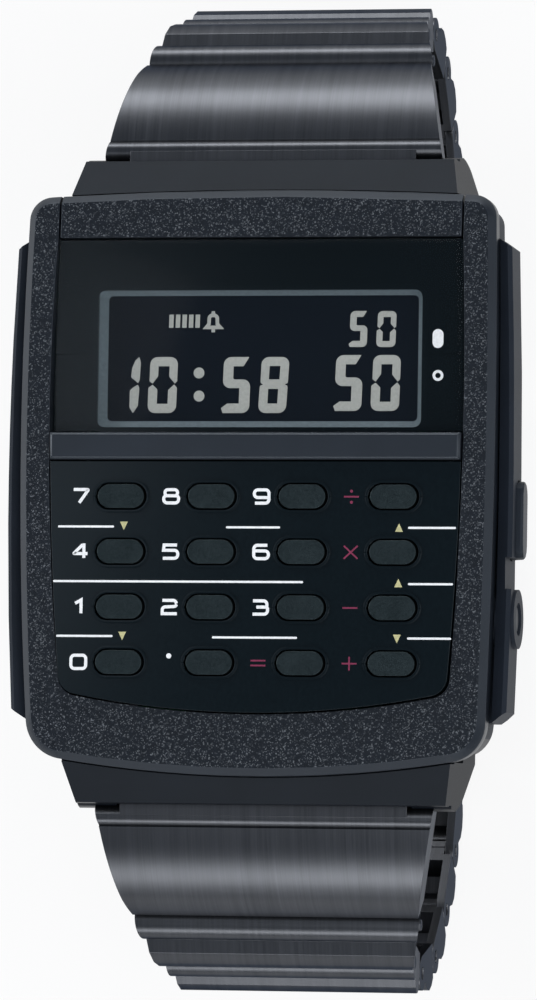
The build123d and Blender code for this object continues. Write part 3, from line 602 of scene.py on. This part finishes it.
# %% Lips round the key holes
LIP_WIDE, LIP_HIGH, LIP_ROUND, LIP_SUNK = 0.20, 0.13, 0.09, 0.02
shape = bmesh.new()
for node_name in key_nodes:
    low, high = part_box(node_name)
    x, y = (low[0] + high[0]) / 2, (low[1] + high[1]) / 2
    lip = bmesh.new()
    pill(lip, x, y, FACE_Z - LIP_SUNK * MM, FACE_Z + LIP_HIGH * MM, HOLE_LONG + 2 * LIP_WIDE,
         HOLE_DEEP + 2 * LIP_WIDE)
    ends = [f for f in lip.faces if abs(f.normal.z) > 0.9]
    bmesh.ops.inset_individual(lip, faces=ends, thickness=LIP_WIDE * MM, use_even_offset=True)
    loops = [e for f in ends for e in f.edges]
    bmesh.ops.delete(lip, geom=ends, context="FACES_ONLY")
    bmesh.ops.bridge_loops(lip, edges=loops)
    top_edges = [e for e in rim_edges(lip, FACE_Z + LIP_HIGH * MM)
                 if len(e.link_faces) == 2 and e.calc_face_angle(0) > SHARP]
    round_off(lip, top_edges, LIP_ROUND, 3)
    bmesh.ops.recalc_face_normals(lip, faces=lip.faces[:])
    take_in(shape, lip)
lips = new_piece("key_hole_lips", shape, [PANEL_GLOSS], "case")
smooth_shading(lips)
print("lips", len(lips.data.polygons), "faces")

# %% [markdown]
# Printed marks are thin slabs of ink. A filled mark starts as one flat face from a few
# corners; a corner with a third number is rounded by a vertex bevel of that radius; then the
# face is pushed up by the ink's thickness. A line drawing starts as a bare path instead: the
# path is pushed up to a low wall, and a Solidify modifier gives the wall its width. Marks that
# cross lie one thin layer apart, because faces in one plane would fight.

# %% Helpers for marks
INK = 0.012
LAYER = 0.002


def seat(x, y, z=0.0):
    """A place in millimetres from the middle of the face, in metres."""
    return Vector((x * MM, y * MM, FACE_Z + z * MM))


def round_corners(shape, verts, corners):
    for vert, corner in zip(verts, corners):
        if len(corner) == 3:
            round_off(shape, [vert], corner[2], 5, "VERTICES")


def add_mark(shape, corners, z):
    verts = [shape.verts.new(seat(c[0], c[1], z)) for c in corners]
    shape.faces.new(verts)
    round_corners(shape, verts, corners)


def add_dot(shape, x, y, radius, z):
    bmesh.ops.create_circle(shape, cap_ends=True, segments=24, radius=radius * MM,
                            matrix=Matrix.Translation(seat(x, y, z)))


def push_up(shape, made, height):
    bmesh.ops.translate(shape, vec=(0, 0, height * MM), verts=raised(made))
    bmesh.ops.recalc_face_normals(shape, faces=shape.faces[:])


def filled(name, shape, material, height=INK):
    made = bmesh.ops.extrude_face_region(shape, geom=shape.faces[:])["geom"]
    push_up(shape, made, height)
    return new_piece(name, shape, [material], "case")


def drawn(name, strokes, z, width, material, height=INK):
    """Strokes are (points, closed) pairs."""
    shape = bmesh.new()
    for layer, (points, closed) in enumerate(strokes):
        level = z + LAYER * (layer % 3)
        verts = [shape.verts.new(seat(p[0], p[1], level)) for p in points]
        ring = verts + verts[:1] if closed else verts
        for first, second in zip(ring, ring[1:]):
            shape.edges.new((first, second))
        round_corners(shape, verts, points)
    made = bmesh.ops.extrude_edge_only(shape, edges=shape.edges[:])["geom"]
    push_up(shape, made, height)
    piece = new_piece(name, shape, [material], "case")
    wide = piece.modifiers.new("stroke_width", "SOLIDIFY")
    wide.thickness = width * MM
    wide.offset = 0
    wide.use_even_offset = True


# %% [markdown]
# The display shows a time in segment figures. Where two lit segments meet they look like one
# stroke with a round outer corner, and the open end of a segment is cut to a point. Each
# figure is drawn once in a box of one by one, and placed into the boxes of the display. Five
# small bars and a bell stand above them, for the signals that are on.

# %% Display figures
ROUND_BIG, SLANT, FULL_HIGH = 0.55, 0.026, 4.1
UPPER_ARCH = [(0.03, 0.57), (0.14, 0.525), (0.32, 0.66), (0.32, 0.835), (0.70, 0.835),
              (0.70, 0.65), (0.90, 0.525), (0.98, 0.57), (0.98, 1.0, 1.0), (0.03, 1.0, 1.0)]
LOWER_ARCH = [(0.0, 0.45), (0.0, 0.0, 1.0), (0.98, 0.0, 1.0), (0.98, 0.45), (0.88, 0.51),
              (0.68, 0.41), (0.68, 0.165), (0.31, 0.165), (0.31, 0.42), (0.14, 0.505)]
FIGURES = {
    "0": [UPPER_ARCH, LOWER_ARCH],
    "1": [[(0.82, 1.0), (1.0, 0.90), (0.96, 0.60), (0.80, 0.535), (0.08, 0.64), (0.14, 0.80),
           (0.45, 0.94)],
          [(0.78, 0.505), (0.95, 0.45), (0.88, 0.13), (0.40, 0.0), (0.03, 0.10), (0.0, 0.40),
           (0.35, 0.46)]],
    "5": [[(0.93, 1.0), (0.74, 0.835), (0.39, 0.835), (0.39, 0.60, 0.25), (1.0, 0.60, 1.0),
           (1.0, 0.0, 1.0), (0.06, 0.0), (0.0, 0.09), (0.21, 0.17), (0.62, 0.17),
           (0.62, 0.445), (0.03, 0.445, 1.0), (0.04, 1.0, 1.0)]],
    "8": [[(0.05, 0.52, 0.3), (0.32, 0.52), (0.34, 0.84), (0.70, 0.84), (0.68, 0.52),
           (0.97, 0.52, 0.3), (1.0, 1.0, 1.0), (0.06, 1.0, 1.0)],
          [(0.0, 0.0, 1.0), (0.94, 0.0, 1.0), (0.97, 0.50, 0.3), (0.66, 0.50), (0.64, 0.17),
           (0.31, 0.17), (0.32, 0.50), (0.03, 0.50, 0.3)],
          [(0.12, 0.43), (0.88, 0.43), (0.90, 0.60), (0.13, 0.60)]],
}
DISPLAY = [("1", -9.84, 4.88, -9.10, 8.98), ("0", -8.46, 4.88, -6.29, 8.98),
           ("5", -2.99, 4.88, -0.89, 8.97), ("8", -0.24, 4.88, 1.96, 8.97),
           ("5", 5.33, 5.03, 7.41, 9.10), ("0", 8.08, 5.03, 10.23, 9.10),
           ("5", 6.39, 9.69, 7.73, 12.31), ("0", 8.42, 9.68, 9.87, 12.30)]
LCD_TOP = (LCD_Z - FACE_Z) / MM + 0.005
COLON_DOTS, COLON_R = ((-4.71, 7.81), (-4.68, 6.12)), 0.40
BARS, BAR_X, BAR_STEP, BAR_WIDE, BAR_LEAN, BAR_LOW, BAR_HIGH = (
    5, -7.0, 0.49, 0.33, 0.02, 11.12, 12.08)

shape = bmesh.new()
for figure, x_low, y_low, x_high, y_high in DISPLAY:
    wide, tall = x_high - x_low, y_high - y_low
    for layer, outline in enumerate(FIGURES[figure]):
        corners = []
        for corner in outline:
            x = x_low + corner[0] * wide + SLANT * (corner[1] - 0.5) * tall
            y = y_low + corner[1] * tall
            bend = tuple(ROUND_BIG * r * tall / FULL_HIGH for r in corner[2:])
            corners.append((x, y) + bend)
        add_mark(shape, corners, LCD_TOP + LAYER * layer)
for x, y in COLON_DOTS:
    add_dot(shape, x, y, COLON_R, LCD_TOP)
for count in range(BARS):
    x = BAR_X + count * BAR_STEP
    add_mark(shape, [(x, BAR_LOW), (x + BAR_WIDE, BAR_LOW), (x + BAR_WIDE + BAR_LEAN, BAR_HIGH),
                     (x + BAR_LEAN, BAR_HIGH)], LCD_TOP)
figures = filled("display_figures", shape, SEGMENT)
bell = [(-4.22, 11.14), (-4.02, 11.38), (-4.00, 12.02, 0.22), (-3.42, 12.02, 0.22),
        (-3.40, 11.38), (-3.18, 11.14)]
drawn("display_bell", [(bell, True), ([(-3.70, 11.14), (-3.70, 10.78)], False),
                       ([(-3.71, 12.02), (-3.71, 12.32)], False)],
      LCD_TOP, 0.26, SEGMENT)
print("figures", len(figures.data.polygons), "faces")

# %% [markdown]
# The window in the mask has round corners. A larger rounded face lies on the mask, is inset by
# the ring's width, and loses its inner face. The frame round the display is a slope between
# two rounded loops, one high at the mask and one low at the display, bridged and then given
# the thickness of a wall.

# %% Round corners of the window, and the display's frame
def box_mark(shape, low_x, low_y, high_x, high_y, bend, z):
    """One flat box with round corners."""
    add_mark(shape, [(low_x, low_y, bend), (high_x, low_y, bend), (high_x, high_y, bend),
                     (low_x, high_y, bend)], z)


MASK_TOP = (MASK_Z - FACE_Z) / MM
MARK_TOP = MASK_TOP + LAYER
RING_WIDE, RING_BEND = 0.40, 0.55
shape = bmesh.new()
box_mark(shape, -12.0 - RING_WIDE, 3.75 - RING_WIDE, 12.0 + RING_WIDE, 13.75 + RING_WIDE,
         RING_BEND + RING_WIDE, MARK_TOP)
middle = shape.faces[:]
bmesh.ops.inset_individual(shape, faces=middle, thickness=RING_WIDE * MM, use_even_offset=True)
bmesh.ops.delete(shape, geom=middle, context="FACES_ONLY")
filled("mask_window_edge", shape, MASK_BLACK)

FRAME_WALL = 0.25
shape = bmesh.new()
box_mark(shape, -12.3, 3.5, 12.3, 14.0, 0.80, -1.5)
box_mark(shape, -11.5, 4.28, 11.5, 13.45, 0.34, LCD_TOP)
loops = shape.edges[:]
bmesh.ops.delete(shape, geom=shape.faces[:], context="FACES_ONLY")
bmesh.ops.bridge_loops(shape, edges=loops)
bmesh.ops.recalc_face_normals(shape, faces=shape.faces[:])
slope = new_piece("display_frame_skin", shape, [FRAME_GREY], "case",
                  ("display_frame",))
wall = slope.modifiers.new("wall", "SOLIDIFY")
wall.thickness = FRAME_WALL * MM
wall.offset = -1
print("frame normal up", slope.data.polygons[0].normal.z > 0)

# %% [markdown]
# White marks beside the display: a filled oval and a small ring, which stand for the two
# buttons. The words beside them are left off.

# %% Marks on the mask
OVAL_LOW, OVAL_HIGH, OVAL_X, OVAL_HALF = 9.49, 10.87, 13.17, 0.40
RING_X, RING_Y, RING_R, RING_LINE = 13.2, 7.5, 0.3, 0.20
shape = bmesh.new()
box_mark(shape, OVAL_X - OVAL_HALF, OVAL_LOW, OVAL_X + OVAL_HALF, OVAL_HIGH, 0.399, MARK_TOP)
filled("mask_oval", shape, WHITE_INK)
ring = [(RING_X + x * RING_R, RING_Y + y * RING_R, 0.299)
        for x, y in ((-1, -1), (1, -1), (1, 1), (-1, 1))]
drawn("mask_ring", [(ring, True)], MARK_TOP, RING_LINE, WHITE_INK)
print("mask marks at", round(MARK_TOP, 3), "mm from the face")

# %% [markdown]
# The keypad has a figure or a sign to the left of each key, white rule lines between the
# rows, and small yellow arrows. Figures are drawn as strokes in a box of one by one.

# %% Keypad figures and signs
KEY_STEP_X, KEY_STEP_Y = 6.70, 4.02
KEY_MID_X, KEY_MID_Y = 0.23, -7.39
FIGURE_LEFT = 3.0
FIGURE_WIDE, FIGURE_HIGH, STROKE = 1.33, 1.19, 0.225
R, S = 0.26, 0.10
STROKES = {
    "7": [([(0, 1), (1, 1, S), (0.38, 0)], False)],
    "8": [([(0.08, 0.54, 0.2), (0.92, 0.54, 0.2), (0.92, 1, R), (0.08, 1, R)], True),
          ([(0, 0, R), (1, 0, R), (1, 0.54, 0.2), (0, 0.54, 0.2)], True)],
    "9": [([(0, 0.42, R), (0.98, 0.42), (0.98, 1, R), (0, 1, R)], True),
          ([(0.98, 0.42), (0.98, 0, R), (0.05, 0)], False)],
    "4": [([(0.66, 1), (0.06, 0.33, 0.07), (1, 0.33)], False), ([(0.75, 0), (0.75, 1.1)], False)],
    "5": [([(0.94, 1), (0.08, 1), (0.04, 0.60), (1, 0.60, R), (1, 0, R), (0, 0)], False)],
    "6": [([(0.02, 0, R), (1, 0, R), (1, 0.58, R), (0.02, 0.58)], True),
          ([(0.02, 0.58), (0.02, 1, R), (0.92, 1)], False)],
    "1": [([(0.22, 0.74), (0.62, 1), (0.62, 0)], False)],
    "2": [([(0.02, 1), (0.97, 1, R), (0.97, 0.55, 0.2), (0.02, 0.50, 0.2), (0.02, 0),
            (1, 0)], False)],
    "3": [([(0.02, 1), (0.95, 1, R), (0.95, 0.53, 0.14), (0.25, 0.53)], False),
          ([(0.25, 0.53), (1, 0.53, 0.14), (1, 0, R), (0, 0)], False)],
    "0": [([(0, 0, R), (1, 0, R), (1, 1, R), (0, 1, R)], True)],
}
ROWS = ["789/", "456*", "123-", "0.=+"]
SIGN_HALF, SIGN_STROKE, SIGN_SHIFT = 0.55, 0.12, -0.1
SIGN_DOT_Y, SIGN_DOT_R = 0.40, 0.11
POINT_UP, POINT_R = 0.48, 0.19
SIGNS = {
    "/": [[(-1, 0), (1, 0)]],
    "*": [[(-0.92, -0.85), (0.92, 0.85)], [(-0.92, 0.85), (0.92, -0.85)]],
    "-": [[(-1, 0), (1, 0)]],
    "=": [[(-1, 0.32), (1, 0.32)], [(-1, -0.32), (1, -0.32)]],
    "+": [[(-1, 0), (1, 0)], [(0, -0.9), (0, 0.9)]],
}
white_strokes, sign_strokes = [], []
white_dots, sign_dots = bmesh.new(), bmesh.new()
for row, marks in enumerate(ROWS):
    for column, mark in enumerate(marks):
        x = KEY_MID_X + KEY_STEP_X * (column - 1.5) - FIGURE_LEFT
        y = KEY_MID_Y + KEY_STEP_Y * (1.5 - row)
        for points, closed in STROKES.get(mark, []):
            placed = [(x + (p[0] - 0.5) * (FIGURE_WIDE - STROKE),
                       y + (p[1] - 0.5) * (FIGURE_HIGH - STROKE)) + p[2:] for p in points]
            white_strokes.append((placed, closed))
        for points in SIGNS.get(mark, []):
            placed = [(x + SIGN_SHIFT + p[0] * SIGN_HALF, y + p[1] * SIGN_HALF)
                      for p in points]
            sign_strokes.append((placed, False))
        if mark == "/":
            for way in (1, -1):
                add_dot(sign_dots, x + SIGN_SHIFT, y + way * SIGN_DOT_Y, SIGN_DOT_R, 0)
        if mark == ".":
            add_dot(white_dots, x, y + POINT_UP, POINT_R, 0)
print("marks on the keypad", len(white_strokes), "strokes", len(sign_strokes), "sign strokes")
drawn("keypad_figures", white_strokes, 0, STROKE, WHITE_INK)
drawn("keypad_signs", sign_strokes, 0, SIGN_STROKE, CRIMSON_INK)
filled("keypad_sign_dots", sign_dots, CRIMSON_INK)
filled("keypad_point", white_dots, WHITE_INK)

# %% [markdown]
# Thin white rules part the rows of keys, with gaps where the photograph has words. A small
# arrow at a gap points up or down at the key that it belongs to.

# %% Rule lines and arrows
RULE, RULE_ROUND = 0.078, 0.07
RULES = [(-3.57, -14.5, -10.33), (-3.60, -2.03, 1.96), (-3.60, 11.36, 14.86),
         (-7.55, -14.8, 3.71), (-7.66, 11.41, 14.70),
         (-11.53, -14.5, -10.31), (-11.58, -2.94, 3.33), (-11.58, 11.40, 14.61)]
shape = bmesh.new()
for y, start, end in RULES:
    box_mark(shape, start, y - RULE, end, y + RULE, RULE_ROUND, 0)
filled("keypad_rules", shape, WHITE_INK)
ARROWS = [(-9.6, -3.5, -1), (10.7, -3.6, 1), (10.7, -7.6, 1), (-9.6, -11.5, -1),
          (10.65, -11.6, -1)]
ARROW_HALF, ARROW_TIP = 0.29, 0.32
shape = bmesh.new()
for x, y, way in ARROWS:
    base = y - ARROW_HALF * way
    corners = [(x - ARROW_HALF, base), (x + ARROW_HALF, base), (x, y + ARROW_TIP * way)]
    add_mark(shape, corners if way > 0 else corners[::-1], 0)
filled("keypad_arrows", shape, YELLOW_INK)
print("rules", len(RULES), "arrows", len(ARROWS))

# %% [markdown]
# The steel back is held by four slotted screws. A head starts as a disc, two cuts divide it
# into a middle strip and two sides, and only the sides are pushed out, so the strip is left
# as the slot. A plain shank fills the hole behind it.

# %% Screws in the back
SCREW_X, SCREW_Y, SCREW_R = 13.30, 16.40, 0.98
SLOT_HALF, SLOT_DEEP, HEAD_ROUND = 0.17, 0.32, 0.07


def head_faces(screw, height):
    """Faces that lie flat at a height, in metres."""
    return [f for f in screw.faces if all(abs(v.co.z - height) < 0.01 * MM for v in f.verts)]


low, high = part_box("back_screws")
floor_z = low[2] + SLOT_DEEP * MM
shape = bmesh.new()
for x in (-SCREW_X * MM, SCREW_X * MM):
    for y in (-SCREW_Y * MM, SCREW_Y * MM):
        screw = bmesh.new()
        bmesh.ops.create_circle(screw, cap_ends=True, segments=36, radius=SCREW_R * MM,
                                matrix=Matrix.Translation((x, y, floor_z)))
        made = bmesh.ops.extrude_face_region(screw, geom=screw.faces[:])["geom"]
        bmesh.ops.translate(screw, vec=(0, 0, high[2] - floor_z),
                            verts=raised(made))
        for side in (-1, 1):
            head = head_faces(screw, floor_z)
            cut = head + [e for f in head for e in f.edges] + [v for f in head for v in f.verts]
            bmesh.ops.bisect_plane(screw, geom=list(dict.fromkeys(cut)),
                                   plane_co=(x + side * SLOT_HALF * MM, y, floor_z),
                                   plane_no=(1, 0, 0))
        sides = [f for f in head_faces(screw, floor_z)
                 if abs(f.calc_center_median().x - x) > SLOT_HALF * MM]
        made = bmesh.ops.extrude_face_region(screw, geom=sides)["geom"]
        bmesh.ops.translate(screw, vec=(0, 0, -SLOT_DEEP * MM),
                            verts=raised(made))
        round_off(screw, rim_edges(screw, low[2]), HEAD_ROUND, 2)
        bmesh.ops.recalc_face_normals(screw, faces=screw.faces[:])
        take_in(shape, screw)
screws = new_piece("slotted_screws", shape, [SCREW_STEEL], "case",
                   ("back_screws",))
smooth_shading(screws)
print("screws", len(screws.data.polygons), "faces")

# %% [markdown]
# The light is plain and even: one lamp over the face, one towards each side of the watch, and
# a small near one whose reflection gives the left side of the face its soft sheen.

# %% Lights
def soft_light(name, place, aim, size, power):
    data = bpy.data.lights.new(name, "AREA")
    data.shape = "RECTANGLE"
    data.size, data.size_y = size
    data.energy = power
    lamp = bpy.data.objects.new(name, data)
    scene.collection.objects.link(lamp)
    lamp.location = place
    lamp.rotation_euler = (Vector(aim) - Vector(place)).to_track_quat("-Z", "Y").to_euler()


CENTRE = (0, 0, FACE_Z)
LAMPS = [("near_soft", (-0.050, 0.007, 0.135), (-0.030, 0.0, FACE_Z), (0.05, 0.018), 0.0030),
         ("over_soft", (0.24, -0.10, 0.50), CENTRE, (0.5, 0.5), 1.5),
         ("upper_soft", (-0.05, 0.70, 0.19), CENTRE, (0.6, 0.24), 2.8),
         ("lower_soft", (0.0, -0.66, 0.30), CENTRE, (0.6, 0.24), 1.9),
         ("left_soft", (-0.70, 0.10, 0.30), CENTRE, (0.3, 0.6), 3.0),
         ("right_soft", (0.70, 0.0, 0.25), CENTRE, (0.3, 0.6), 0.6)]
for name, (x, y, above), aim, size, power in LAMPS:
    soft_light(name, (x, y, FACE_Z + above), aim, size, power)
print("lamps", len(LAMPS))

# %% [markdown]
# The floor is nearly white by its own colour. To the camera and in reflections it also glows
# as a white backdrop, while the rest of its light still carries the shadow of the watch. The
# world is a dim, slightly cool room.

# %% Floor and world
FLOOR_HALF, GLOW_SHARE = 3.0, 0.85
ROOM_COLOUR, ROOM_STRENGTH = (0.74, 0.88, 1.10, 1), 0.20
floor_mesh = bpy.data.meshes.new("floor")
shape = bmesh.new()
bmesh.ops.create_grid(shape, x_segments=1, y_segments=1, size=FLOOR_HALF)
shape.to_mesh(floor_mesh)
shape.free()
floor = bpy.data.objects.new("floor", floor_mesh)
scene.collection.objects.link(floor)
floor_paint = Paint("floor_white")
floor_paint.put(Base_Color=floor_paint.blend(floor_paint.noise(3, 2), (0.90, 0.90, 0.90, 1),
                                             (0.94, 0.94, 0.94, 1)), Roughness=0.9)
rays = floor_paint.add("ShaderNodeLightPath")
seen = (rays.out("Is Camera Ray") + rays.out("Is Glossy Ray") + rays.out("Is Transmission Ray"))
glow = floor_paint.add("ShaderNodeEmission", {}, {"Color": (1, 1, 1, 1), "Strength": 1.0})
mixed = floor_paint.add("ShaderNodeMixShader", {}, {
    0: seen * GLOW_SHARE, 1: Wire(floor_paint, floor_paint.shader.outputs["BSDF"]),
    2: glow.out("Emission")})
end = [n for n in floor_paint.tree.nodes if n.type == "OUTPUT_MATERIAL"][0]
floor_paint.tree.links.new(mixed.out("Shader").socket, end.inputs["Surface"])
floor_mesh.materials.append(floor_paint.material)

world = bpy.data.worlds.new("studio")
scene.world = world
world.use_nodes = True
room = world.node_tree.nodes["Background"]
room.inputs["Color"].default_value = ROOM_COLOUR
room.inputs["Strength"].default_value = ROOM_STRENGTH
print("floor half", FLOOR_HALF, "m, world", ROOM_STRENGTH)
